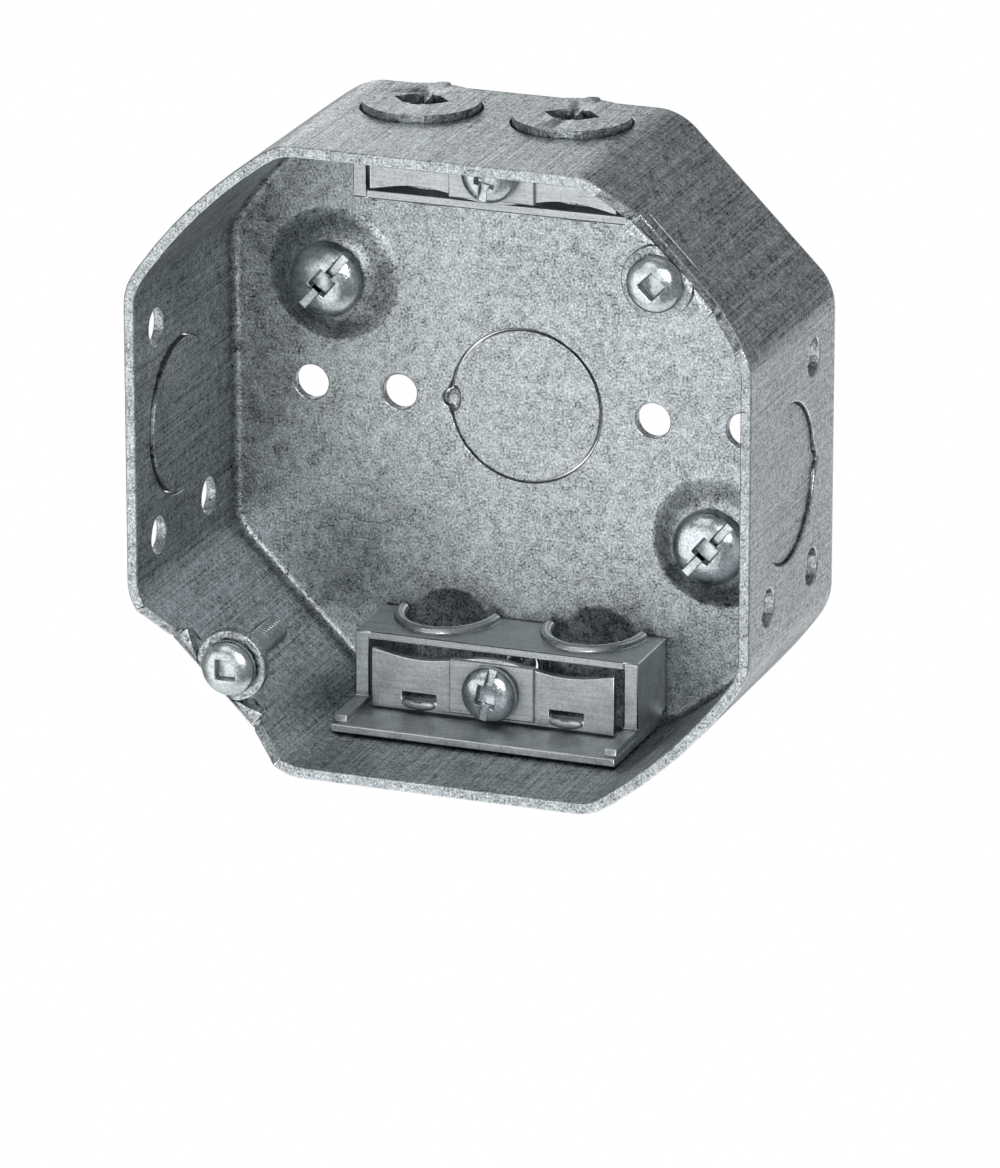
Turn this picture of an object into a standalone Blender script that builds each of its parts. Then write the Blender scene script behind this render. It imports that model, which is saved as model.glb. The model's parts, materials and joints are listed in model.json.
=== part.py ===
"""Four-inch octagon junction box, 1 1/2 in deep, drawn from one galvanised steel sheet.

Two cable clamps, knockouts and pry-outs, two cover screws in the ears and two bonding screws.

Every piece is modelled in the box's own axes: x to the right, y up and z out of the opening,
with z = 0 on the outside of the back panel. One empty then turns the whole box upright, so
that the opening faces -Y and +Z is up. Lengths are in metres.
"""

import math

import bmesh
import bpy
from mathutils import Matrix, Vector

MM = 0.001

# Shell
HALF_FLAT = 46 * MM              # centre to a main wall, outside
HALF_DIAGONAL = 48.8 * MM        # centre to an ear wall, outside
DEPTH = 38.1 * MM                # 1 1/2 in
SHEET = 1.6 * MM
CORNER_RADIUS = 8 * MM           # the bends between walls
CORNER_STEPS = 7
WALL_BULGE = 1.8 * MM            # how far the two walls without an ear are bowed outwards
BACK_BEND = 2.8 * MM             # the bend from back panel to wall, outside
GAP = 0.3 * MM                   # clearance between neighbouring pieces

# Ears and their cover screws, 3 1/2 in apart
EAR_SCREW_REACH = 44.45 * MM     # centre of the box to an ear screw
EAR_FACE = DEPTH - 2.4 * MM      # front of an ear
EAR_HALF_WIDTH = 8.1 * MM        # at the wall; the ear narrows from there to its round tip
EAR_TIP_RADIUS = 5.2 * MM
EAR_BEND = 1.8 * MM
EAR_ANGLES = {"upper_right": 45, "lower_left": 225}
# Half of the rim's cut beside an ear: (distance along the wall, height above the back)
EAR_RELIEF = [(15.4 * MM, 39 * MM), (13.4 * MM, 37.3 * MM), (11.2 * MM, 36.3 * MM),
              (9.2 * MM, 35.4 * MM), (8.6 * MM, 34.6 * MM)]

# Screws: 8-32 in the ears and clamps, 10-32 for bonding
SMALL_SHANK = 2.08 * MM
SMALL_HEAD = 4 * MM
LARGE_SHANK = 2.4 * MM
LARGE_HEAD = 5.5 * MM
SCREW_CLEARANCE = 0.35 * MM
DRIVE_SQUARE = 2.8 * MM
SLOT_WIDTH = 1.2 * MM
SLOT_DEPTH = 1.1 * MM
THREAD_CHAMFER = 0.5 * MM
EAR_SCREW_LENGTH = 17.5 * MM
BOND_SCREW_LENGTH = 3.6 * MM
CLAMP_SLOT_TURN = math.radians(78)
BOND_SLOT_TURN = math.radians(50)
EAR_DRIVE_TURNS = {"upper_right": 0, "lower_left": math.radians(45)}

# Back panel
MOUNT_HOLE_X = (19.05 * MM, 32.5 * MM)
MOUNT_HOLE_RADIUS = 2.55 * MM
BOND_X = 28.8 * MM
BOND_Y = 16.6 * MM
BOSS_RISE = 2.5 * MM             # how far each bonding boss is pressed in
BOSS_SEAT = 4.9 * MM             # radius of the flat where the screw's head lands
BOSS_FOOT = 10.6 * MM            # radius where its flank runs out into the panel
BOSS_SKIN = 1.3 * MM             # the sheet's thickness over a boss
COLLAR_HEIGHT = 1.6 * MM         # the drawn, tapped collar under each clamp screw
COLLAR_RADIUS = 3.8 * MM

# Knockouts, pry-outs and nail holes
KNOCKOUT_RADIUS = 11.1 * MM      # the 1/2 in trade size, 22.2 mm across
KNOCKOUT_Z = 21.6 * MM           # height of the side knockouts above the back
KNOCKOUT_SUNK = 0.5 * MM         # how far a side knockout stands into the box
TIE_RADIUS = 1.1 * MM            # the round tie that holds a slug to the sheet
PRYOUT_RADIUS = 8.3 * MM
PRYOUT_X = 11.1 * MM
PRYOUT_Z = 13.3 * MM
PRYOUT_RAISE = 1.1 * MM
PRYOUT_EDGE = 0.4 * MM           # rounding of a pry-out's raised edge
PRY_SLOT = (8.2 * MM, 4.8 * MM)
PRY_NOTCH = (0.7 * MM, 2.9 * MM)  # half of the notch across the slot
NAIL_HOLE_RADIUS = 2.7 * MM
NAIL_Y = 15.3 * MM
NAIL_FRONT = 30 * MM
NAIL_BACK = 11.4 * MM

# Cable clamps, one at the top and one at the bottom
CLAMP_SHEET = 1.2 * MM
CLAMP_HALF_WIDTH = 21.3 * MM
CLAMP_STRIP = 2.1 * MM           # width of the two uprights beside the window
CLAMP_INNER_Y = 32 * MM          # its face towards the middle of the box
CLAMP_FRONT = 13.6 * MM
CLAMP_LIP = 23.4 * MM            # front edge of its foot
CLAMP_OUTER_Y = HALF_FLAT - SHEET - GAP
THROAT_X = 11.1 * MM
THROAT_HALF_WIDTH = 7 * MM
THROAT_TOP = 10.4 * MM
THROAT_LIP = 0.85 * MM
PLATE_FRONT = CLAMP_FRONT + GAP + CLAMP_SHEET
PLATE_HALF_WIDTH = 18.2 * MM
PLATE_TOP_Y = CLAMP_INNER_Y + CLAMP_SHEET + GAP
PLATE_BASE_Y = CLAMP_OUTER_Y - CLAMP_SHEET - GAP
PLATE_WAVE = 1.4 * MM            # how far its top edge dips in front of each throat
PAD_HALF_WIDTH = 6.4 * MM
PAD_RAISE = 0.5 * MM
BARB_Y = 40.4 * MM
BARB_SIZE = (2.6 * MM, 0.9 * MM, 0.7 * MM)
CLAMP_SCREW_Y = 38.2 * MM
CLAMP_HEAD = 4.1 * MM
RAIL_HEIGHT = 1 * MM             # the foot's raised side edges
RAIL_SETBACK = 1.2 * MM

# The hollow in the back panel under each throat, part of an ellipsoid
HOLLOW_RADII = (8.3 * MM, 9.2 * MM, 2.4 * MM)
HOLLOW_Y = 35.6 * MM
HOLLOW_DEPTH = 0.95 * MM

STEEL = (0.46, 0.48, 0.49)
CLAMP_STEEL = (0.5, 0.52, 0.53)
SCREW_ZINC = (0.62, 0.66, 0.68)
X_AXIS, Y_AXIS, Z_AXIS = Vector((1, 0, 0)), Vector((0, 1, 0)), Vector((0, 0, 1))


# ---------------------------------------------------------------- scene and materials

for leftover in list(bpy.data.objects):
    bpy.data.objects.remove(leftover, do_unlink=True)

parts = bpy.data.collections.new("junction_box")
cutters = bpy.data.collections.new("cutters")
bpy.context.scene.collection.children.link(parts)
bpy.context.scene.collection.children.link(cutters)

upright = bpy.data.objects.new("box_upright", None)
upright.rotation_euler.x = math.radians(90)
parts.objects.link(upright)


def metal(name, colour, roughness):
    material = bpy.data.materials.new(name)
    material.use_nodes = True
    shader = material.node_tree.nodes["Principled BSDF"]
    shader.inputs["Base Color"].default_value = (*colour, 1)
    shader.inputs["Metallic"].default_value = 1
    shader.inputs["Roughness"].default_value = roughness
    return material


# ---------------------------------------------------------------- mesh helpers

def add_object(name, mesh, collection, location=(0, 0, 0)):
    obj = bpy.data.objects.new(name, mesh)
    collection.objects.link(obj)
    obj.parent = upright
    obj.location = location
    if collection is cutters:
        obj.hide_render = True
        obj.display_type = "WIRE"
    return obj


def mesh_from(name, form):
    mesh = bpy.data.meshes.new(name)
    bmesh.ops.recalc_face_normals(form, faces=form.faces)
    form.to_mesh(mesh)
    form.free()
    return mesh


def cylinder(name, centre, radius, length, axis=Z_AXIS, top=None, sides=32, spin=0):
    """A cylinder or, where top is given, a cone frustum about its centre."""
    towards = Z_AXIS.rotation_difference(axis).to_matrix().to_4x4()
    form = bmesh.new()
    bmesh.ops.create_cone(
        form,
        cap_ends=True,
        segments=sides,
        radius1=radius,
        radius2=radius if top is None else top,
        depth=length,
        matrix=Matrix.Translation(centre) @ towards @ Matrix.Rotation(spin, 4, "Z"),
    )
    return add_object(name, mesh_from(name, form), cutters)


def block(name, low, high, turn=0, round_by=0):
    """A box between two corners, turned about the z axis of the junction box."""
    low, high = Vector(low), Vector(high)
    form = bmesh.new()
    bmesh.ops.create_cube(form, size=1)
    bmesh.ops.scale(form, vec=high - low, verts=form.verts)
    bmesh.ops.translate(form, vec=(low + high) / 2, verts=form.verts)
    turning = Matrix.Rotation(turn, 3, "Z")
    bmesh.ops.rotate(form, cent=(0, 0, 0), matrix=turning, verts=form.verts)
    if round_by:
        edges = form.edges[:]
        bmesh.ops.bevel(form, geom=edges, offset=round_by, segments=2, profile=0.5, affect="EDGES")
    return add_object(name, mesh_from(name, form), cutters)


def prism(name, outline, low, high, axes=(X_AXIS, Y_AXIS, Z_AXIS), origin=(0, 0, 0)):
    """A flat outline in the first two axes, extruded from low to high along the third."""
    across, up, along = axes
    origin = Vector(origin)
    form = bmesh.new()
    ends = []
    for height in (low, high):
        ends.append([form.verts.new(origin + across * u + up * v + along * height) for u, v in outline])
    form.faces.new(ends[0])
    form.faces.new(ends[1])
    count = len(outline)
    for i in range(count):
        j = (i + 1) % count
        form.faces.new((ends[0][i], ends[0][j], ends[1][j], ends[1][i]))
    return add_object(name, mesh_from(name, form), cutters)


def ellipsoid(name, centre, radii, rings=16):
    form = bmesh.new()
    bmesh.ops.create_uvsphere(form, u_segments=2 * rings, v_segments=rings, radius=1)
    bmesh.ops.scale(form, vec=radii, verts=form.verts)
    bmesh.ops.translate(form, vec=centre, verts=form.verts)
    return add_object(name, mesh_from(name, form), cutters)


def lathe(name, profile, foot, steps=32):
    """A turned shape: a profile of (radius, height), from the top down, about z through foot."""
    form = bmesh.new()
    verts = [form.verts.new((radius, 0, height)) for radius, height in profile]
    for first, second in zip(verts, verts[1:]):
        form.edges.new((first, second))
    mesh = bpy.data.meshes.new(name)
    form.to_mesh(mesh)
    form.free()
    obj = add_object(name, mesh, cutters, location=foot)
    turn = obj.modifiers.new("turn", "SCREW")
    turn.steps = turn.render_steps = steps
    turn.use_merge_vertices = True
    turn.merge_threshold = 0.00001
    return obj


def arc(centre, radius, start, stop, steps):
    """Points on an arc, from one angle to another, in degrees."""
    angles = [math.radians(start + (stop - start) * i / steps) for i in range(steps + 1)]
    return [(centre[0] + radius * math.cos(a), centre[1] + radius * math.sin(a)) for a in angles]


def combine(target, *steps):
    """Adds Booleans to target, in order; each step is an operation and its objects."""
    for operation, objects in steps:
        for other in objects:
            boolean = target.modifiers.new(f"{operation.lower()} {other.name}", "BOOLEAN")
            boolean.operation = operation
            boolean.object = other
    return target


def finish(obj, material, smooth_angle=32):
    """Freezes the modifiers, moves the object to the parts and shades it."""
    graph = bpy.context.evaluated_depsgraph_get()
    mesh = bpy.data.meshes.new_from_object(obj.evaluated_get(graph))
    obj.modifiers.clear()
    obj.data = mesh
    mesh.name = obj.name
    mesh.materials.clear()
    mesh.materials.append(material)
    mesh.shade_smooth()
    mesh.set_sharp_from_angle(angle=math.radians(smooth_angle))
    if obj.name in cutters.objects:
        cutters.objects.unlink(obj)
        parts.objects.link(obj)
    obj.hide_render = False
    obj.display_type = "TEXTURED"
    return obj


def pivot(obj, centre):
    """Moves the object's origin to its joint, leaving its shape where it is."""
    obj.data.transform(Matrix.Translation(-centre))
    obj.location = centre
    return obj


# ---------------------------------------------------------------- shell

def fillet(before, corner, after, radius, steps):
    """Replaces a corner of a flat outline with an arc."""
    before, corner, after = Vector(before), Vector(corner), Vector(after)
    to_before = (before - corner).normalized()
    to_after = (after - corner).normalized()
    half_angle = to_before.angle(to_after) / 2
    centre = corner + (to_before + to_after).normalized() * radius / math.sin(half_angle)
    start = corner + to_before * radius / math.tan(half_angle) - centre
    stop = corner + to_after * radius / math.tan(half_angle) - centre
    turn = start.angle_signed(stop)
    return [centre + Matrix.Rotation(-turn * i / steps, 2) @ start for i in range(steps + 1)]


def bowed_side(start, end, steps=8):
    """Inner points of an arc from start to end, bowed outwards by WALL_BULGE."""
    start, end = Vector(start), Vector(end)
    half = (end - start).length / 2
    radius = (half * half + WALL_BULGE * WALL_BULGE) / (2 * WALL_BULGE)
    middle = (start + end) / 2
    centre = middle - middle.normalized() * (radius - WALL_BULGE)
    sweep = math.asin(half / radius)
    outwards = middle.normalized() * radius
    angles = [sweep * (2 * i / steps - 1) for i in range(1, steps)]
    return [centre + Matrix.Rotation(a, 2) @ outwards for a in angles]


def wall_outline():
    """The outside of the walls, anticlockwise: four main walls, two bowed and two ear walls."""
    near = HALF_DIAGONAL * math.sqrt(2) - HALF_FLAT
    corners = [(HALF_FLAT, -near), (HALF_FLAT, near), (near, HALF_FLAT), (-near, HALF_FLAT),
               (-HALF_FLAT, near), (-HALF_FLAT, -near), (-near, -HALF_FLAT), (near, -HALF_FLAT)]
    bowed_after = (3, 7)
    outline = []
    runs = []
    for i, corner in enumerate(corners):
        after = corners[(i + 1) % 8]
        runs.append(bowed_side(corner, after) if i in bowed_after else [])
    for i, corner in enumerate(corners):
        before = runs[i - 1][-1] if runs[i - 1] else corners[i - 1]
        after = runs[i][0] if runs[i] else corners[(i + 1) % 8]
        outline += fillet(before, corner, after, CORNER_RADIUS, CORNER_STEPS)
        outline += runs[i]
    return outline


def shell_blank():
    """The drawn pan: an open surface, bent at the back, given the sheet's thickness."""
    form = bmesh.new()
    back = form.faces.new([form.verts.new((p[0], p[1], 0)) for p in wall_outline()])
    back.normal_update()
    if back.normal.z > 0:
        back.normal_flip()
    rim_side = bmesh.ops.extrude_edge_only(form, edges=back.edges[:])["geom"]
    rim = [v for v in rim_side if isinstance(v, bmesh.types.BMVert)]
    bmesh.ops.translate(form, vec=(0, 0, DEPTH), verts=rim)
    bmesh.ops.bevel(form, geom=back.edges[:], offset=BACK_BEND, segments=5, profile=0.5,
                    affect="EDGES")
    shell = add_object("box_shell", mesh_from("box_shell", form), parts)
    skin = shell.modifiers.new("sheet", "SOLIDIFY")
    skin.thickness = SHEET
    skin.offset = -1
    skin.use_even_offset = True
    return shell


def ear_directions(degrees):
    """For the ear wall at an angle: along the wall, away from the back, and outwards."""
    angle = math.radians(degrees)
    outwards = Vector((math.cos(angle), math.sin(angle), 0))
    return Z_AXIS.cross(outwards), Z_AXIS, outwards


def ear_pieces(name, degrees):
    """The rim's cut, the ear itself and its screw hole."""
    along, up, outwards = ear_directions(degrees)
    relief = EAR_RELIEF + [(-u, v) for u, v in reversed(EAR_RELIEF)]
    cut = prism(f"{name}_ear_relief", relief, HALF_DIAGONAL - 6 * MM, HALF_DIAGONAL + 4 * MM,
                (along, up, outwards))

    # The wall goes on up, bends inwards and becomes the flat ear. It stands a hair proud of the
    # wall on both sides, so that the two join cleanly.
    proud = 0.05 * MM
    outer = HALF_DIAGONAL + proud
    inner = HALF_DIAGONAL - SHEET - proud
    bend_centre = (outer - EAR_BEND, EAR_FACE - EAR_BEND)
    low = EAR_FACE - EAR_BEND - SHEET
    reach = EAR_SCREW_REACH - EAR_TIP_RADIUS - 1 * MM
    profile = [(outer, low)] + arc(bend_centre, EAR_BEND, 0, 90, 6)
    profile += [(reach, EAR_FACE), (reach, EAR_FACE - SHEET)]
    profile += arc(bend_centre, EAR_BEND - SHEET - 2 * proud, 90, 0, 3)
    profile += [(inner, low)]
    ear = prism(f"{name}_ear", profile, -EAR_HALF_WIDTH, EAR_HALF_WIDTH, (outwards, up, along))

    # Seen from the front it narrows from the wall to a round tip.
    tangent = math.degrees(math.asin(EAR_HALF_WIDTH / HALF_DIAGONAL)) + 30
    tip = arc((0, EAR_SCREW_REACH), EAR_TIP_RADIUS, 180 - tangent, 360 + tangent, 24)
    plan = tip + [(EAR_HALF_WIDTH, outer - 2 * SHEET), (EAR_HALF_WIDTH, outer + 1 * MM),
                  (-EAR_HALF_WIDTH, outer + 1 * MM), (-EAR_HALF_WIDTH, outer - 2 * SHEET)]
    outline = prism(f"{name}_ear_plan", plan, low - 1 * MM, EAR_FACE + 1 * MM, (along, outwards, up))
    combine(ear, ("INTERSECT", [outline]))

    hole = cylinder(f"{name}_ear_hole", outwards * EAR_SCREW_REACH + up * EAR_FACE,
                    SMALL_SHANK + SCREW_CLEARANCE, 6 * MM)
    return cut, ear, hole


BOND_SITES = {"upper_bond": Vector((-BOND_X, BOND_Y, 0)), "lower_bond": Vector((BOND_X, -BOND_Y, 0))}
BOSS_SEAT_Z = SHEET + BOSS_RISE


def swell(name, centre, seat, foot, seat_z, rise, base_z):
    """A round swelling: flat at its seat, with a flank that runs out in an S to its foot."""
    steps = 12
    flank = []
    for i in range(steps + 1):
        share = i / steps
        flank.append((seat + (foot - seat) * share,
                      seat_z - rise * (0.5 - 0.5 * math.cos(math.pi * share))))
    profile = [(0, seat_z)] + flank + [(foot, base_z), (0, base_z)]
    return lathe(name, profile, centre, steps=40)


def raised_boss(name, centre):
    """A round boss pressed inwards from the back, with its hollow and its screw hole."""
    sunk = 0.06 * MM
    boss = swell(f"{name}_boss", centre, BOSS_SEAT, BOSS_FOOT, BOSS_SEAT_Z, BOSS_RISE + sunk,
                 SHEET - 0.5 * MM)
    hollow = swell(f"{name}_hollow", centre, BOSS_SEAT - BOSS_SKIN / 2, BOSS_FOOT - BOSS_SKIN,
                   BOSS_SEAT_Z - BOSS_SKIN, BOSS_SEAT_Z - BOSS_SKIN + sunk, -1 * MM)
    between_edges = math.pi / 32
    hole = cylinder(f"{name}_hole", centre, LARGE_SHANK + SCREW_CLEARANCE, 12 * MM,
                    spin=between_edges)
    return boss, hollow, hole


def round_with_tie(name, centre, axis, tie, radius, length, spare=0):
    """A disc with a small round tie at its edge; spare grows both, to make the slug's hole."""
    disc = cylinder(name, centre, radius + spare, length, axis, sides=48)
    tab = cylinder(f"{name}_tie", centre + tie * radius, TIE_RADIUS + spare, length, axis, sides=16)
    return disc, tab


# Each slug: centre on the wall's outer face, outward axis, direction of its tie, radius, how far
# it stands out from the sheet, and whether it opens inwards.
SLUGS = {
    "back_knockout": (Vector((0, 0, 0)), -Z_AXIS, -X_AXIS, KNOCKOUT_RADIUS, 0, True),
    "left_knockout": (Vector((-HALF_FLAT, 0, KNOCKOUT_Z)), -X_AXIS, -Z_AXIS, KNOCKOUT_RADIUS,
                      -KNOCKOUT_SUNK, True),
    "right_knockout": (Vector((HALF_FLAT, 0, KNOCKOUT_Z)), X_AXIS, -Z_AXIS, KNOCKOUT_RADIUS,
                       -KNOCKOUT_SUNK, True),
}
for side, outwards in (("top", Y_AXIS), ("bottom", -Y_AXIS)):
    for hand, x in (("left", -PRYOUT_X), ("right", PRYOUT_X)):
        SLUGS[f"{side}_{hand}_pryout"] = (Vector((x, 0, PRYOUT_Z)) + outwards * HALF_FLAT, outwards,
                                          -Z_AXIS, PRYOUT_RADIUS, PRYOUT_RAISE, False)


def slug(name, material):
    """One knockout or pry-out, with its origin on the line that its tie bends about."""
    face, axis, tie, radius, lift, inwards = SLUGS[name]
    centre = face + axis * (lift - SHEET / 2)
    disc, tab = round_with_tie(name, centre, axis, tie, radius, SHEET)
    combine(disc, ("UNION", [tab]))
    if not inwards:
        combine(disc, ("DIFFERENCE", pry_slot(name, centre, axis)))
        edge = disc.modifiers.new("rounded edge", "BEVEL")
        edge.width = PRYOUT_EDGE
        edge.segments = 2
        edge.limit_method = "ANGLE"
        edge.angle_limit = math.radians(60)
    finish(disc, material)
    bend_line = face + axis * (lift - (SHEET if inwards else 0)) + tie * (radius + TIE_RADIUS)
    return pivot(disc, bend_line)


def pry_slot(name, centre, axis):
    """The slot for a screwdriver's blade, with a short notch across its middle."""
    half, width = PRY_SLOT[0] / 2, PRY_SLOT[1] / 2
    shoulder = half * 0.45
    lens = [(-half, 0), (-shoulder, -width), (shoulder, -width), (half, 0), (shoulder, width),
            (-shoulder, width)]
    notch = [(-PRY_NOTCH[0], -PRY_NOTCH[1]), (PRY_NOTCH[0], -PRY_NOTCH[1]), PRY_NOTCH,
             (-PRY_NOTCH[0], PRY_NOTCH[1])]
    axes = (X_AXIS, Z_AXIS, axis)
    return [prism(f"{name}_slot", lens, -3 * MM, 3 * MM, axes, centre),
            prism(f"{name}_notch", notch, -3 * MM, 3 * MM, axes, centre)]


def slug_holes():
    """The hole that each knockout and pry-out leaves in the shell."""
    holes = []
    for name, (face, axis, tie, radius, _, _) in SLUGS.items():
        centre = face - axis * SHEET / 2
        holes += round_with_tie(f"{name}_hole", centre, axis, tie, radius, SHEET + 4 * MM, spare=GAP)
    return holes


def nail_holes():
    spots = [(-HALF_FLAT, NAIL_Y, NAIL_FRONT), (-HALF_FLAT, -NAIL_Y, NAIL_BACK),
             (-HALF_FLAT, -NAIL_Y, NAIL_FRONT), (HALF_FLAT, NAIL_Y, NAIL_BACK),
             (HALF_FLAT, -NAIL_Y, NAIL_BACK), (HALF_FLAT, -NAIL_Y, NAIL_FRONT)]
    return [cylinder(f"nail_hole_{i}", spot, NAIL_HOLE_RADIUS, 8 * MM, axis=X_AXIS, sides=24)
            for i, spot in enumerate(spots)]


def cable_hollows():
    """Four shallow hollows in the back panel, one under each throat of the clamps."""
    height = SHEET + HOLLOW_RADII[2] - HOLLOW_DEPTH
    return [ellipsoid(f"cable_hollow_{i}", (x * THROAT_X, y * HOLLOW_Y, height), HOLLOW_RADII)
            for i, (x, y) in enumerate(((-1, 1), (1, 1), (-1, -1), (1, -1)))]


def make_shell(material):
    shell = shell_blank()
    added, cut = [], []
    for name, degrees in EAR_ANGLES.items():
        relief, ear, hole = ear_pieces(name, degrees)
        combine(shell, ("DIFFERENCE", [relief]))
        added.append(ear)
        cut.append(hole)
    for name, centre in BOND_SITES.items():
        boss, hollow, hole = raised_boss(name, centre)
        added.append(boss)
        cut += [hollow, hole]
    for name, y in (("top", CLAMP_SCREW_Y), ("bottom", -CLAMP_SCREW_Y)):
        sunk = 0.5 * MM
        middle = Vector((0, y, SHEET + (COLLAR_HEIGHT - sunk) / 2))
        added.append(cylinder(f"{name}_collar", middle, COLLAR_RADIUS, COLLAR_HEIGHT + sunk,
                              top=COLLAR_RADIUS - 0.6 * MM))
        cut.append(cylinder(f"{name}_tapped_hole", (0, y, 0), SMALL_SHANK + SCREW_CLEARANCE, 12 * MM))
    for i, x in enumerate(MOUNT_HOLE_X):
        for side in (-1, 1):
            cut.append(cylinder(f"mount_hole_{i}_{side}", (side * x, 0, 0), MOUNT_HOLE_RADIUS,
                                8 * MM, sides=32))
    combine(shell, ("DIFFERENCE", cable_hollows()), ("UNION", added),
            ("DIFFERENCE", cut + slug_holes() + nail_holes()))
    return finish(shell, material)


# ---------------------------------------------------------------- screws

# A pan head's outline, as shares of its radius and height, from the middle of its crown
PAN_HEAD = ((0, 1), (0.35, 0.98), (0.62, 0.9), (0.82, 0.74), (0.95, 0.48), (1, 0.2), (1, 0))


def make_screw(name, foot, head, shank, drive_turn, slotted, material):
    """A pan-head screw along z, its head sitting on foot; head and shank are (radius, length)."""
    (head_radius, head_height), (shank_radius, shank_length) = head, shank
    profile = [(head_radius * r, head_height * h) for r, h in PAN_HEAD]
    profile += [(shank_radius, 0), (shank_radius, THREAD_CHAMFER - shank_length),
                (shank_radius - THREAD_CHAMFER, -shank_length), (0, -shank_length)]
    screw = lathe(name, profile, foot)
    recess_floor = 0.8 * MM
    above = head_height + 1 * MM
    corner = DRIVE_SQUARE / math.sqrt(2)
    recess = foot + Vector((0, 0, (above + recess_floor) / 2))
    cuts = [cylinder(f"{name}_drive", recess, corner, above - recess_floor, sides=4, spin=drive_turn)]
    if slotted:
        reach = head_radius + 1 * MM
        slot = block(f"{name}_slot", (-reach, -SLOT_WIDTH / 2, 0), (reach, SLOT_WIDTH / 2, above),
                     turn=drive_turn)
        slot.location = foot + Vector((0, 0, head_height - SLOT_DEPTH))
        cuts.append(slot)
    combine(screw, ("DIFFERENCE", cuts))
    return finish(screw, material)


# ---------------------------------------------------------------- cable clamps

def throat_arch(steps=16):
    """The arched edge of a throat: half an ellipse standing on the back panel."""
    base = SHEET + GAP
    angles = [math.pi * i / steps for i in range(steps + 1)]
    return [(THROAT_HALF_WIDTH * math.cos(a), base + (THROAT_TOP - base) * math.sin(a)) for a in angles]


def throat_lip(name, x):
    """A round lip along the throat's arch."""
    curve = bpy.data.curves.new(name, "CURVE")
    curve.dimensions = "3D"
    curve.bevel_depth = THROAT_LIP
    curve.bevel_resolution = 2
    curve.use_fill_caps = True
    spline = curve.splines.new("POLY")
    points = throat_arch()
    spline.points.add(len(points) - 1)
    for point, (u, z) in zip(spline.points, points):
        point.co = (x + u, 0.1 * MM - CLAMP_INNER_Y, z + THROAT_LIP * 0.9, 1)
    guide = add_object(f"{name}_curve", curve, cutters)
    bpy.context.view_layer.update()
    graph = bpy.context.evaluated_depsgraph_get()
    form = bmesh.new()
    form.from_mesh(bpy.data.meshes.new_from_object(guide.evaluated_get(graph)))
    bmesh.ops.remove_doubles(form, verts=form.verts, dist=0.000001)
    bpy.data.objects.remove(guide, do_unlink=True)
    return add_object(name, mesh_from(name, form), cutters)


def bracket_side(name, sign):
    """One side of the bracket: the wall, the upright beside the window, and the rail on the foot.

    The pieces overlap by a little, so that they join cleanly.
    """
    lap = 0.1 * MM
    outer = sign * CLAMP_HALF_WIDTH
    wall = sorted((outer, outer - sign * CLAMP_SHEET))
    strip = sorted((outer, outer - sign * CLAMP_STRIP))
    top, base = -CLAMP_INNER_Y, -CLAMP_OUTER_Y
    return [
        block(f"{name}_wall", (wall[0], base, SHEET + GAP),
              (wall[1], top - 4 * lap, CLAMP_FRONT - 4 * lap)),
        block(f"{name}_upright", (strip[0], base + lap, CLAMP_FRONT - CLAMP_SHEET - lap),
              (strip[1], top - 2 * lap, CLAMP_FRONT + lap)),
        block(f"{name}_rail", (strip[0] + lap, base + 2 * lap, CLAMP_FRONT - 6 * lap),
              (strip[1] - lap, base + CLAMP_SHEET + RAIL_HEIGHT, CLAMP_LIP - RAIL_SETBACK)),
    ]


def make_bracket(name, material):
    """The folded bracket at the bottom of the box: throats, window, sides and foot."""
    low = SHEET + GAP
    left, right = -CLAMP_HALF_WIDTH, CLAMP_HALF_WIDTH
    top, base = -CLAMP_INNER_Y, -CLAMP_OUTER_Y
    bracket = block(name, (left, top - CLAMP_SHEET, low), (right, top, CLAMP_FRONT))
    added = [block(f"{name}_foot", (left, base, CLAMP_FRONT - CLAMP_SHEET),
                   (right, base + CLAMP_SHEET, CLAMP_LIP))]
    added += bracket_side(f"{name}_left", -1) + bracket_side(f"{name}_right", 1)
    lips, throats = [], []
    opening = throat_arch() + [(-THROAT_HALF_WIDTH, 0), (THROAT_HALF_WIDTH, 0)]
    for hand, x in (("left", -THROAT_X), ("right", THROAT_X)):
        lips.append(throat_lip(f"{name}_{hand}_lip", x))
        throats.append(prism(f"{name}_{hand}_throat", opening, top - 3 * MM, top + 3 * MM,
                             (X_AXIS, Z_AXIS, Y_AXIS), (x, 0, 0)))
    beyond = 3 * MM
    clear_of_bend = BACK_BEND - SHEET + GAP
    trims = [block(f"{name}_back_trim", (left - beyond, base - beyond, -beyond),
                   (right + beyond, top + beyond, low)),
             block(f"{name}_bend_trim", (left - beyond, base - beyond, -beyond),
                   (right + beyond, base + clear_of_bend, low + clear_of_bend))]
    combine(bracket, ("UNION", added), ("DIFFERENCE", throats), ("UNION", lips),
            ("DIFFERENCE", trims))
    return finish(bracket, material)


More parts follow.
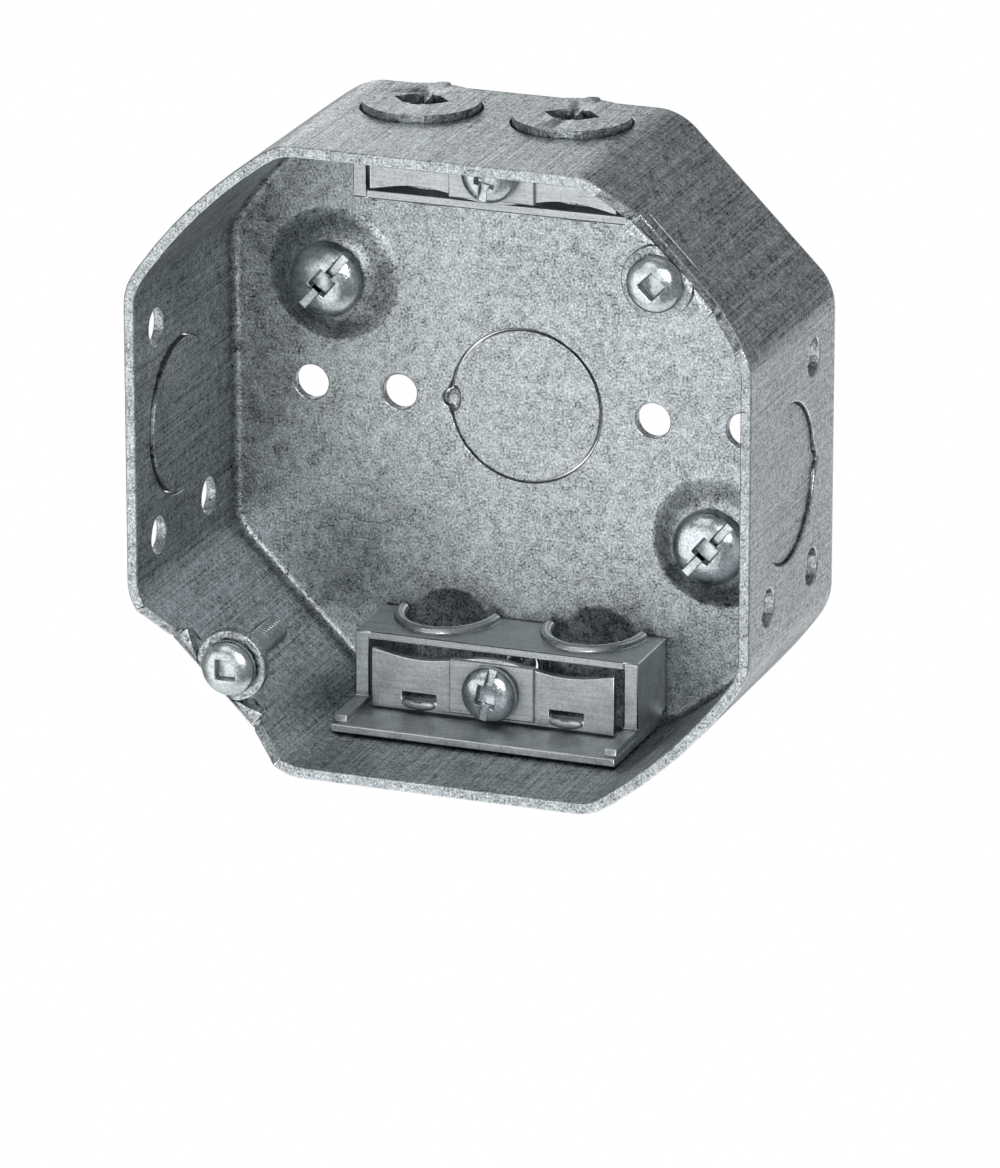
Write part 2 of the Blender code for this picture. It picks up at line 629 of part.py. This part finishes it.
def make_plate(name, material):
    """The flat pressure plate at the bottom of the box, with its pad, slots and barbs."""
    back, front = PLATE_FRONT - CLAMP_SHEET, PLATE_FRONT
    steps = 24
    outline = []
    for i in range(steps + 1):
        x = PLATE_HALF_WIDTH * (2 * i / steps - 1)
        dip = PLATE_WAVE * (0.5 - 0.5 * math.cos(math.pi * x / THROAT_X))
        outline.append((x, -PLATE_TOP_Y - dip))
    outline += [(PLATE_HALF_WIDTH, -PLATE_BASE_Y), (-PLATE_HALF_WIDTH, -PLATE_BASE_Y)]
    plate = prism(name, outline, back, front)
    pad = block(f"{name}_pad", (-PAD_HALF_WIDTH, -PLATE_BASE_Y + 0.5 * MM, back + 0.3 * MM),
                (PAD_HALF_WIDTH, -PLATE_TOP_Y - 0.5 * MM, front + PAD_RAISE), round_by=0.25 * MM)
    barbs, slots = [], []
    beyond = 2 * MM
    for hand, x in (("left", -THROAT_X), ("right", THROAT_X)):
        slots.append(block(f"{name}_{hand}_slot", (x - BARB_SIZE[0], -BARB_Y - 0.55 * MM, back - beyond),
                           (x + BARB_SIZE[0], -BARB_Y + 0.55 * MM, front + beyond)))
        barbs.append(ellipsoid(f"{name}_{hand}_barb", (x, -BARB_Y - 1.1 * MM, front), BARB_SIZE, rings=10))
    hole = cylinder(f"{name}_hole", (0, -CLAMP_SCREW_Y, front), SMALL_SHANK + SCREW_CLEARANCE, 6 * MM)
    combine(plate, ("UNION", [pad] + barbs), ("DIFFERENCE", slots + [hole]))
    return finish(plate, material)


def upper_copy(obj, name):
    """A copy of a bottom piece, turned half round the box's axis."""
    copy = obj.copy()
    copy.name = name
    copy.rotation_euler.z = math.pi
    parts.objects.link(copy)
    return copy


# ---------------------------------------------------------------- assembly

shell_steel = metal("galvanised sheet", STEEL, 0.42)
slug_steel = metal("galvanised sheet, punched", STEEL, 0.4)
clamp_steel = metal("clamp steel", CLAMP_STEEL, 0.35)
screw_zinc = metal("zinc-plated screw", SCREW_ZINC, 0.22)

make_shell(shell_steel)
for slug_name in SLUGS:
    slug(slug_name, slug_steel)

bottom_bracket = make_bracket("bottom_clamp_bracket", clamp_steel)
upper_copy(bottom_bracket, "top_clamp_bracket")
bottom_plate = make_plate("bottom_clamp_plate", clamp_steel)
upper_copy(bottom_plate, "top_clamp_plate")

clamp_seat = PLATE_FRONT + PAD_RAISE + GAP
for side, y in (("top", CLAMP_SCREW_Y), ("bottom", -CLAMP_SCREW_Y)):
    make_screw(f"{side}_clamp_screw", Vector((0, y, clamp_seat)), (CLAMP_HEAD, 2.2 * MM),
               (SMALL_SHANK, clamp_seat - SHEET), CLAMP_SLOT_TURN, True, screw_zinc)
for ear, degrees in EAR_ANGLES.items():
    _, up, outwards = ear_directions(degrees)
    ear_seat = outwards * EAR_SCREW_REACH + up * (EAR_FACE + GAP)
    make_screw(f"{ear}_ear_screw", ear_seat, (SMALL_HEAD, 2.1 * MM), (SMALL_SHANK, EAR_SCREW_LENGTH),
               EAR_DRIVE_TURNS[ear], False, screw_zinc)
for bond, centre in BOND_SITES.items():
    make_screw(f"{bond}_screw", centre + Z_AXIS * (BOSS_SEAT_Z + GAP), (LARGE_HEAD, 2.7 * MM),
               (LARGE_SHANK, BOND_SCREW_LENGTH), BOND_SLOT_TURN, True, screw_zinc)
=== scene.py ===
"""Looks of the galvanised octagon junction box.

Each sheet piece is a smooth copy of its CAD node, with worn, rounded edges. Each screw is made
anew with a real thread and drive. The metals are procedural.
"""

import json
import math

import bmesh
import bpy
from mathutils import Matrix, Vector


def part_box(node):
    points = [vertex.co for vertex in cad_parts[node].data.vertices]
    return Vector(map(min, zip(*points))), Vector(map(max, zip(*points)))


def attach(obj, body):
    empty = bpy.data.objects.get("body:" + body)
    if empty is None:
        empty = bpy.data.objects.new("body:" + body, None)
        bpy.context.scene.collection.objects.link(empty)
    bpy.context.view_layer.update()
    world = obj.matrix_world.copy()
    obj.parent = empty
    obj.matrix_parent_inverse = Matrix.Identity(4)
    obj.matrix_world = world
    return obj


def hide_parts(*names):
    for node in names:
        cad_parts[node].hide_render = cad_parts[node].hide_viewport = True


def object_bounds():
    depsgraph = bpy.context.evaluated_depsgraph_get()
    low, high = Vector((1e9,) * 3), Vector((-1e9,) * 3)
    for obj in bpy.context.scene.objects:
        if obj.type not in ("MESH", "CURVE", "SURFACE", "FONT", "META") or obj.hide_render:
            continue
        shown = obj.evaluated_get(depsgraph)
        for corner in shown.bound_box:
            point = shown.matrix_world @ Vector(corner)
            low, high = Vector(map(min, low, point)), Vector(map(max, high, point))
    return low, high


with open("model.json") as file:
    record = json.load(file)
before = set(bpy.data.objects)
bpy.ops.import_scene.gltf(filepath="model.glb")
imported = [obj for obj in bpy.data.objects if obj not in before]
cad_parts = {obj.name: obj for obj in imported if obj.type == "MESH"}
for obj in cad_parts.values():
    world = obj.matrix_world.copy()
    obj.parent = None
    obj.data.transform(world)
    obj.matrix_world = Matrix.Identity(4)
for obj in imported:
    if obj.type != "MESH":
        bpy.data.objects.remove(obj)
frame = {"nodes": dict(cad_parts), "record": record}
cad_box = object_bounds()

MM = 0.001
NODES = frame["nodes"]
BODY_OF = {node: body for body, nodes in frame["record"]["behaviour"]["bodies"].items()
           for node in nodes}
SLOT_OF = {part["node"]: part["material_slot"] for part in frame["record"]["subparts"]}


# ---------------------------------------------------------------- camera, light and floor

AIM = Vector((0.0026, -0.019, -0.0206))
AZIMUTH = math.radians(20.42)
ELEVATION = math.radians(19.02)
DISTANCE = 1.2592
SENSOR = 36
LENS = 277

SKY = (0.26, 0.265, 0.27)
BACKDROP = (1, 1, 1)
FLOOR_DROP = 0.9
FLOOR_RADIUS = 1.1
FLOOR_COLOUR = (0.82, 0.82, 0.82, 1)
FLOOR_GLOW = 0.45
SOFTBOXES = (  # name, azimuth and elevation in degrees, distance, size, power
    ("key", -32, -16, 1.2, 1.0, 3.5),
    ("front fill", -24, 26, 1.2, 0.5, 0.8),
    ("camera side", 11, 10, 1.5, 0.45, 4.2),
    ("overhead", -20, 80, 1.3, 0.9, 0.8),
    ("low behind", 165, -24, 1.4, 0.7, 1.2),
    ("high behind", 214, 24, 1.4, 0.6, 2),
)


def towards(azimuth, elevation):
    """A direction from the box; azimuth 0 is straight in front of it and 90 to its right."""
    flat = math.cos(elevation)
    return Vector((math.sin(azimuth) * flat, -math.cos(azimuth) * flat, math.sin(elevation)))


def add_camera():
    data = bpy.data.cameras.new("camera")
    data.sensor_fit = "VERTICAL"
    data.sensor_height = SENSOR
    data.lens = LENS
    camera = bpy.data.objects.new("camera", data)
    bpy.context.scene.collection.objects.link(camera)
    bpy.context.scene.camera = camera
    outwards = towards(AZIMUTH, ELEVATION)
    camera.location = AIM + outwards * DISTANCE
    camera.rotation_euler = outwards.to_track_quat("Z", "Y").to_euler()


def softbox(name, azimuth, elevation, distance, size, power):
    """A square area light that faces the box, placed by its direction in degrees."""
    data = bpy.data.lights.new(name, "AREA")
    data.size = size
    data.energy = power
    light = bpy.data.objects.new(name, data)
    bpy.context.scene.collection.objects.link(light)
    outwards = towards(math.radians(azimuth), math.radians(elevation))
    light.location = outwards * distance
    light.rotation_euler = outwards.to_track_quat("Z", "Y").to_euler()


def add_world():
    """Soft even light, in front of a white backdrop."""
    world = bpy.data.worlds.new("studio")
    bpy.context.scene.world = world
    world.use_nodes = True
    tree = world.node_tree
    tree.nodes.clear()
    out = tree.nodes.new("ShaderNodeOutputWorld")
    mix = tree.nodes.new("ShaderNodeMixShader")
    light = tree.nodes.new("ShaderNodeBackground")
    white = tree.nodes.new("ShaderNodeBackground")
    path = tree.nodes.new("ShaderNodeLightPath")
    light.inputs["Color"].default_value = (*SKY, 1)
    white.inputs["Color"].default_value = (*BACKDROP, 1)
    tree.links.new(path.outputs["Is Camera Ray"], mix.inputs["Fac"])
    tree.links.new(light.outputs[0], mix.inputs[1])
    tree.links.new(white.outputs[0], mix.inputs[2])
    tree.links.new(mix.outputs[0], out.inputs["Surface"])


def add_floor():
    """A round pale floor under the box."""
    form = bmesh.new()
    bmesh.ops.create_circle(form, cap_ends=True, segments=96, radius=FLOOR_RADIUS)
    mesh = bpy.data.meshes.new("floor")
    form.to_mesh(mesh)
    form.free()
    floor = bpy.data.objects.new("floor", mesh)
    bpy.context.scene.collection.objects.link(floor)
    floor.location.z = cad_box[0].z - FLOOR_DROP
    material = bpy.data.materials.new("pale floor")
    material.use_nodes = True
    shader = material.node_tree.nodes["Principled BSDF"]
    shader.inputs["Base Color"].default_value = FLOOR_COLOUR
    shader.inputs["Roughness"].default_value = 0.9
    shader.inputs["Emission Color"].default_value = (1, 1, 1, 1)
    shader.inputs["Emission Strength"].default_value = FLOOR_GLOW
    mesh.materials.append(material)


# ---------------------------------------------------------------- metals

# Lengths in this section are in millimetres.
PAINTED_SHADE = 0.55        # painted shade: how much of the light the grooves and inner corners lose, taken out of the colour
PAINTED_SHADE_REACH = 1.6

# Features of the dipped zinc, in x, y and z. The streaks run back along the drawn walls.
SPANGLE = 2.2
MOTTLE = (1.1, 1.1, 1.1)
GRAIN = (0.32, 0.32, 0.32)
CLOUD = (14, 14, 14)
STREAK = (0.28, 26, 0.28)
DIPPED_ROUGHNESS = 0.38
DIPPED_BUMP = 0.07

# Features of the electroplate. Its lines run along the folded clamps, and are short and fine on
# the screws.
CLAMP_LINES = (8, 0.3, 0.3)
SCREW_LINES = (0.5, 0.25, 0.5)
HAZE = (3.5, 3.5, 3.5)
SPECK = (0.4, 0.4, 0.4)
PLATED_BUMP = 0.025

SHELL_COLOUR = (0.485, 0.52, 0.535)
CLAMP_COLOUR = (0.58, 0.61, 0.62)
SCREW_COLOUR = (0.62, 0.68, 0.7)


class Shader:
    """A Principled material whose nodes are built by short calls."""

    def __init__(self, name):
        self.material = bpy.data.materials.new(name)
        self.material.use_nodes = True
        self.tree = self.material.node_tree
        self.surface = self.tree.nodes["Principled BSDF"]
        place = self.node("ShaderNodeTexCoord")
        self.normal = place.outputs["Normal"]
        self.place = self.vector("MULTIPLY", place.outputs["Object"], (1 / MM,) * 3)

    def node(self, kind, **settings):
        made = self.tree.nodes.new(kind)
        for name, value in settings.items():
            setattr(made, name, value)
        return made

    def feed(self, socket, value):
        """Links a socket to value where that is a socket too, or else sets it to value."""
        if isinstance(value, bpy.types.NodeSocket):
            self.tree.links.new(value, socket)
        else:
            socket.default_value = value

    def math(self, operation, first, second=0.0, clamp=False):
        made = self.node("ShaderNodeMath", operation=operation, use_clamp=clamp)
        self.feed(made.inputs[0], first)
        self.feed(made.inputs[1], second)
        return made.outputs[0]

    def vector(self, operation, first, second):
        made = self.node("ShaderNodeVectorMath", operation=operation)
        self.feed(made.inputs[0], first)
        self.feed(made.inputs[1], second)
        return made.outputs[0]

    def noise(self, size, detail=2.0, roughness=0.5, offset=0.0):
        """Noise from -0.5 to 0.5 whose features have the given size in x, y and z."""
        made = self.node("ShaderNodeTexNoise")
        scaled = self.vector("DIVIDE", self.place, size)
        self.feed(made.inputs["Vector"], self.vector("ADD", scaled, (offset, offset, offset)))
        made.inputs["Scale"].default_value = 1
        made.inputs["Detail"].default_value = detail
        made.inputs["Roughness"].default_value = roughness
        return self.math("SUBTRACT", made.outputs["Fac"], 0.5)

    def cells(self, size, stray):
        """Spangle: one value from -0.5 to 0.5 for each crystal, with ragged borders."""
        ragged = self.noise((0.5 * size,) * 3, offset=7)
        made = self.node("ShaderNodeTexVoronoi", feature="F1")
        shift = self.math("MULTIPLY", ragged, stray)
        moved = self.vector("ADD", self.vector("DIVIDE", self.place, (size,) * 3),
                            self.spread(shift))
        self.feed(made.inputs["Vector"], moved)
        made.inputs["Scale"].default_value = 1
        split = self.node("ShaderNodeSeparateColor")
        self.feed(split.inputs[0], made.outputs["Color"])
        return self.math("SUBTRACT", split.outputs[0], 0.5)

    def spread(self, value):
        """A vector whose three parts are all value."""
        made = self.node("ShaderNodeCombineXYZ")
        for socket in made.inputs:
            self.feed(socket, value)
        return made.outputs[0]

    def sum(self, *terms):
        """The sum of pairs of a socket and its weight."""
        total = 0.0
        for socket, weight in terms:
            total = self.math("ADD", self.math("MULTIPLY", socket, weight), total)
        return total

    def facing_y(self):
        """1 on a face that looks along Y, such as the back panel, and 0 on the walls."""
        split = self.node("ShaderNodeSeparateXYZ")
        self.feed(split.inputs[0], self.normal)
        level = self.math("ABSOLUTE", split.outputs["Y"])
        return self.math("MULTIPLY", self.math("SUBTRACT", level, 0.5), 2, clamp=True)

    def crevice(self, reach):
        """How open a point is to light, by ambient occlusion: 1 in the open, falling towards 0 in
        grooves and corners narrower than reach.
        """
        made = self.node("ShaderNodeAmbientOcclusion", samples=6)
        made.inputs["Distance"].default_value = reach * MM
        return made.outputs["AO"]

    def finish(self, colour, tone, roughness, height, depth):
        """Sets the metal: a colour times tone + 1, a roughness, and a bump of a given depth.

        Painted shade darkens the colour in the grooves and inner corners.
        """
        self.surface.inputs["Metallic"].default_value = 1
        # Painted shade: the colour darkens where ambient occlusion finds grooves and inner corners.
        unshaded = self.math("ADD", self.math("MULTIPLY", self.crevice(PAINTED_SHADE_REACH), PAINTED_SHADE), 1 - PAINTED_SHADE)
        shade = self.node("ShaderNodeVectorMath", operation="SCALE")
        shade.inputs[0].default_value = colour
        self.feed(shade.inputs["Scale"], self.math("MULTIPLY", self.math("ADD", tone, 1), unshaded))
        self.feed(self.surface.inputs["Base Color"], shade.outputs[0])
        self.feed(self.surface.inputs["Roughness"], roughness)
        bump = self.node("ShaderNodeBump")
        bump.inputs["Strength"].default_value = 1
        bump.inputs["Distance"].default_value = depth * MM
        self.feed(bump.inputs["Height"], height)
        self.feed(self.surface.inputs["Normal"], bump.outputs[0])
        return self.material


def galvanised(name, colour, seed=0.0, wear=0.0):
    """Hot-dip zinc on sheet: spangle and grain, with rolling streaks on the drawn walls."""
    steel = Shader(name)
    flat = steel.facing_y()
    wall = steel.math("SUBTRACT", 1, flat)
    spangle = steel.cells(SPANGLE, 1.6)
    mottle = steel.noise(MOTTLE, detail=4, roughness=0.65, offset=seed)
    grain = steel.noise(GRAIN, detail=3, roughness=0.6, offset=seed + 3)
    cloud = steel.noise(CLOUD, detail=3, offset=seed + 5)
    streak = steel.noise(STREAK, detail=2, roughness=0.55, offset=seed + 9)
    streak = steel.math("MULTIPLY", streak, wall)
    tone = steel.sum((spangle, 0.3), (mottle, 2), (grain, 3.8), (cloud, 0.35), (streak, 2.1))
    tone = steel.math("ADD", tone, wear)
    rough = steel.sum((mottle, 0.3), (spangle, 0.1), (streak, 0.4))
    rough = steel.math("ADD", rough, DIPPED_ROUGHNESS - 0.4 * wear, clamp=True)
    height = steel.sum((mottle, 1), (grain, 0.8), (streak, 0.8))
    return steel.finish(colour, tone, rough, height, DIPPED_BUMP)


def plated(name, colour, roughness, lines, wear=0.0):
    """Smooth electroplate, with fine drawing lines of a given size."""
    zinc = Shader(name)
    line = zinc.noise(lines, detail=3, roughness=0.6)
    haze = zinc.noise(HAZE, detail=3, offset=4)
    speck = zinc.noise(SPECK, detail=2, offset=8)
    tone = zinc.sum((line, 0.9), (haze, 0.9), (speck, 0.8))
    tone = zinc.math("ADD", tone, wear)
    rough = zinc.sum((haze, 0.4), (line, 0.25))
    rough = zinc.math("ADD", rough, roughness, clamp=True)
    height = zinc.sum((line, 1), (speck, 0.6))
    return zinc.finish(colour, tone, rough, height, PLATED_BUMP)


METALS = {  # slot: the metal of the flats and that of the worn edges
    "shell_steel": (galvanised("galvanised shell", SHELL_COLOUR),
                    galvanised("galvanised shell, worn edge", SHELL_COLOUR, wear=0.6)),
    "slug_steel": (galvanised("galvanised slug", SHELL_COLOUR, seed=21),
                   galvanised("galvanised slug, worn edge", SHELL_COLOUR, seed=21, wear=0.5)),
    "clamp_steel": (plated("clamp plate", CLAMP_COLOUR, 0.46, CLAMP_LINES),
                    plated("clamp plate, worn edge", CLAMP_COLOUR, 0.3, CLAMP_LINES, wear=0.6)),
    "screw_zinc": (plated("screw zinc", SCREW_COLOUR, 0.22, SCREW_LINES),
                   plated("screw zinc, worn edge", SCREW_COLOUR, 0.16, SCREW_LINES, wear=0.2)),
}


# ---------------------------------------------------------------- meshes and edges

SMOOTH_ANGLE = 35
FLATS_WEIGHT = 80


def mesh_object(name, form, matrix=None):
    """Makes an object from a bmesh, which it frees."""
    mesh = bpy.data.meshes.new(name)
    bmesh.ops.recalc_face_normals(form, faces=form.faces)
    form.to_mesh(mesh)
    form.free()
    if matrix is not None:
        mesh.transform(matrix)
    obj = bpy.data.objects.new(name, mesh)
    bpy.context.scene.collection.objects.link(obj)
    return obj


def carve(obj, cutters):
    """Subtracts the cutters, removes them and freezes the result."""
    for cutter in cutters:
        cut = obj.modifiers.new(cutter.name, "BOOLEAN")
        cut.operation = "DIFFERENCE"
        cut.object = cutter
    graph = bpy.context.evaluated_depsgraph_get()
    mesh = bpy.data.meshes.new_from_object(obj.evaluated_get(graph))
    obj.modifiers.clear()
    obj.data = mesh
    mesh.materials.clear()
    for cutter in cutters:
        bpy.data.objects.remove(cutter, do_unlink=True)


def settle(obj, node):
    """Gives a new piece its node's metal, body and slot, and hides the node."""
    for material in METALS[SLOT_OF[node]]:
        obj.data.materials.append(material)
    obj.data.shade_smooth()
    obj.data.set_sharp_from_angle(angle=math.radians(SMOOTH_ANGLE))
    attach(obj, BODY_OF[node])
    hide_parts(node)


def round_edges(obj, width, angle):
    """Rounds the edges sharper than angle, in the worn metal, and keeps the flats flat."""
    edge = obj.modifiers.new("worn edge", "BEVEL")
    edge.width = width
    edge.segments = 2
    edge.limit_method = "ANGLE"
    edge.angle_limit = math.radians(angle)
    edge.use_clamp_overlap = False
    edge.material = 1
    flats = obj.modifiers.new("flats", "WEIGHTED_NORMAL")
    flats.keep_sharp = True
    flats.weight = FLATS_WEIGHT


# ---------------------------------------------------------------- sheet pieces

# Width of the worn edge, by the last word of a node's name. Pry-outs are rounded already.
EDGE_WIDTHS = {"shell": 0.2 * MM, "knockout": 0.1 * MM, "pryout": 0, "bracket": 0.16 * MM,
               "plate": 0.12 * MM}
SHEET_EDGE_ANGLE = 38
WELD = 0.02 * MM
FLAT_ANGLE = 0.6
TIE_DENT = (1.1 * MM, 0.45 * MM, 1.9 * MM)
TIE_DENT_INSET = 1.4 * MM


def sheet_piece(node, edge):
    """A smooth copy of a CAD node, whose edges are rounded and worn over a width of edge."""
    mesh = NODES[node].data.copy()
    mesh.name = f"{node}_surface"
    mesh.materials.clear()
    form = bmesh.new()
    form.from_mesh(mesh)
    bmesh.ops.remove_doubles(form, verts=form.verts, dist=WELD)
    bmesh.ops.dissolve_degenerate(form, dist=WELD, edges=form.edges)
    bmesh.ops.dissolve_limit(form, angle_limit=math.radians(FLAT_ANGLE), verts=form.verts,
                             edges=form.edges, use_dissolve_boundaries=False)
    bmesh.ops.triangulate(form, faces=form.faces)
    bmesh.ops.recalc_face_normals(form, faces=form.faces)
    for face in form.faces:
        face.material_index = 0
    form.to_mesh(mesh)
    form.free()
    obj = bpy.data.objects.new(f"{node}_surface", mesh)
    bpy.context.scene.collection.objects.link(obj)
    if node == "back_knockout":
        carve(obj, [tie_dent(node)])
    settle(obj, node)
    if edge:
        round_edges(obj, edge, SHEET_EDGE_ANGLE)


def tie_dent(node):
    """A cutter for the oval dent that a punch leaves on the knockout's tie, at its -X side."""
    low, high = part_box(node)
    form = bmesh.new()
    bmesh.ops.create_uvsphere(form, u_segments=32, v_segments=16, radius=1)
    bmesh.ops.scale(form, vec=TIE_DENT, verts=form.verts)
    bmesh.ops.translate(form, vec=(low.x + TIE_DENT_INSET, low.y, (low.z + high.z) / 2),
                        verts=form.verts)
    return mesh_object("tie_dent", form)


# ---------------------------------------------------------------- screws

THREADS = {  # outer radius, pitch and depth
    "8-32": (2.05 * MM, 0.794 * MM, 0.42 * MM),
    "10-32": (2.38 * MM, 0.794 * MM, 0.42 * MM),
}
ROUND_STEPS = 48
ROWS_PER_TURN = 8
SHANK_OVERLAP = 0.3 * MM
HEAD_WELD = 0.002 * MM
SCREW_EDGE = 0.1 * MM
SCREW_EDGE_ANGLE = 50

DRIVE_HALF = 1.4 * MM
DRIVE_DEPTH = 1.35 * MM
SLOT_WIDTH = 1.2 * MM
SLOT_DEPTH = 1.1 * MM
CUTTER_RISE = 1 * MM    # how far a cutter stands out of the head

SCREWS = {  # node: thread, head height, turn of the drive in degrees, whether slotted
    "upper_right_ear_screw": ("8-32", 2.1 * MM, 45, False),
    "lower_left_ear_screw": ("8-32", 2.1 * MM, 0, False),
    "top_clamp_screw": ("8-32", 2.2 * MM, 78, True),
    "bottom_clamp_screw": ("8-32", 2.2 * MM, 78, True),
    "upper_bond_screw": ("10-32", 2.7 * MM, 50, True),
    "lower_bond_screw": ("10-32", 2.7 * MM, 50, True),
}


def thread(form, outer, pitch, depth, top, bottom):
    """A threaded shank about z, from z = top down to bottom, added to form.

    The thread's root is flat over a fifth of the pitch, and its end tapers to the root.
    """
    rows = round((top - bottom) / pitch * ROWS_PER_TURN)
    taper = 1.2 * pitch
    rings = []
    for row in range(rows + 1):
        z = top + (bottom - top) * row / rows
        ring = []
        for step in range(ROUND_STEPS):
            turn = step / ROUND_STEPS
            phase = (z / pitch - turn) % 1
            groove = depth * min(1, abs(2 * phase - 1) * 1.25)
            lead = depth * max(0, 1 - (z - bottom) / taper)
            radius = outer - max(groove, lead)
            angle = 2 * math.pi * turn
            ring.append(form.verts.new((radius * math.cos(angle), radius * math.sin(angle), z)))
        rings.append(ring)
    for upper, lower in zip(rings, rings[1:]):
        for step in range(ROUND_STEPS):
            after = (step + 1) % ROUND_STEPS
            form.faces.new((upper[step], lower[step], lower[after], upper[after]))
    form.faces.new(rings[0])
    form.faces.new(list(reversed(rings[-1])))


def turned(form, profile):
    """A turned solid about z, from (radius, height) points, top to bottom, on and off the axis."""
    rings = []
    for radius, height in profile:
        if radius == 0:
            rings.append([form.verts.new((0, 0, height))])
            continue
        ring = []
        for step in range(ROUND_STEPS):
            angle = 2 * math.pi * step / ROUND_STEPS
            ring.append(form.verts.new((radius * math.cos(angle), radius * math.sin(angle), height)))
        rings.append(ring)
    for upper, lower in zip(rings, rings[1:]):
        for step in range(ROUND_STEPS):
            after = (step + 1) % ROUND_STEPS
            corners = [upper[step % len(upper)], lower[step % len(lower)],
                       lower[after % len(lower)], upper[after % len(upper)]]
            unique = []
            for vert in corners:
                if vert not in unique:
                    unique.append(vert)
            form.faces.new(unique)


def pan_head(radius, height):
    """The head's outline: a flat seat, a short rounded side and a domed crown."""
    side = 0.34 * height
    points = []
    for i in range(13):
        angle = math.pi / 2 * i / 12
        points.append((radius * math.sin(angle) ** 0.9, side + (height - side) * math.cos(angle)))
    points[0] = (0, height)
    points += [(radius, 0.12 * height), (radius - 0.1 * height, 0), (0, 0)]
    return points


def square_drive(half, depth):
    """A cutter for a square recess that narrows slightly and ends in a shallow point."""
    form = bmesh.new()
    levels = ((CUTTER_RISE, half * 1.06), (0, half * 1.06), (-depth, half * 0.94))
    rings = []
    for z, reach in levels:
        rings.append([form.verts.new((x * reach, y * reach, z))
                      for x, y in ((1, 1), (-1, 1), (-1, -1), (1, -1))])
    for upper, lower in zip(rings, rings[1:]):
        for i in range(4):
            j = (i + 1) % 4
            form.faces.new((upper[i], upper[j], lower[j], lower[i]))
    form.faces.new(rings[0])
    point = form.verts.new((0, 0, -depth - 0.35 * half))
    for i in range(4):
        form.faces.new((rings[-1][i], rings[-1][(i + 1) % 4], point))
    return form


def slot_cutter(reach, width, depth):
    """A cutter for a straight slot across the crown, reach to each side of the axis."""
    form = bmesh.new()
    bmesh.ops.create_cube(form, size=1)
    bmesh.ops.scale(form, vec=(2 * reach, width, depth + CUTTER_RISE), verts=form.verts)
    bmesh.ops.translate(form, vec=(0, 0, (CUTTER_RISE - depth) / 2), verts=form.verts)
    return form


def screw_head(node, radius, height, drive, slotted):
    """A bmesh of the carved pan head, its seat at z = 0."""
    form = bmesh.new()
    turned(form, pan_head(radius, height))
    head = mesh_object(f"{node}_turned", form)
    place = Matrix.Translation((0, 0, height)) @ Matrix.Rotation(math.radians(drive), 4, "Z")
    cutters = [mesh_object("square", square_drive(DRIVE_HALF, DRIVE_DEPTH), place)]
    if slotted:
        cutters.append(mesh_object("slot", slot_cutter(2 * radius, SLOT_WIDTH, SLOT_DEPTH), place))
    carve(head, cutters)
    form = bmesh.new()
    form.from_mesh(head.data)
    bpy.data.objects.remove(head, do_unlink=True)
    bmesh.ops.remove_doubles(form, verts=form.verts, dist=HEAD_WELD)
    return form


def screw_piece(node, kind, head_height, drive, slotted):
    """A pan-head screw in the place of its CAD node, its head facing -Y."""
    low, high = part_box(node)
    centre = (low + high) / 2
    seat = low.y + head_height
    form = screw_head(node, (high.x - low.x) / 2, head_height, drive, slotted)
    outer, pitch, depth = THREADS[kind]
    thread(form, outer, pitch, depth, SHANK_OVERLAP, seat - high.y)
    facing = Matrix.Translation((centre.x, seat, centre.z)) @ Matrix.Rotation(math.pi / 2, 4, "X")
    screw = mesh_object(f"{node}_piece", form, facing)
    settle(screw, node)
    round_edges(screw, SCREW_EDGE, SCREW_EDGE_ANGLE)


# ---------------------------------------------------------------- assembly

bpy.context.scene.view_settings.view_transform = "Standard"
add_camera()
add_world()
add_floor()
for lamp in SOFTBOXES:
    softbox(*lamp)

for node in NODES:
    if SLOT_OF[node] != "screw_zinc":
        sheet_piece(node, EDGE_WIDTHS[node.split("_")[-1]])

for node, details in SCREWS.items():
    screw_piece(node, *details)
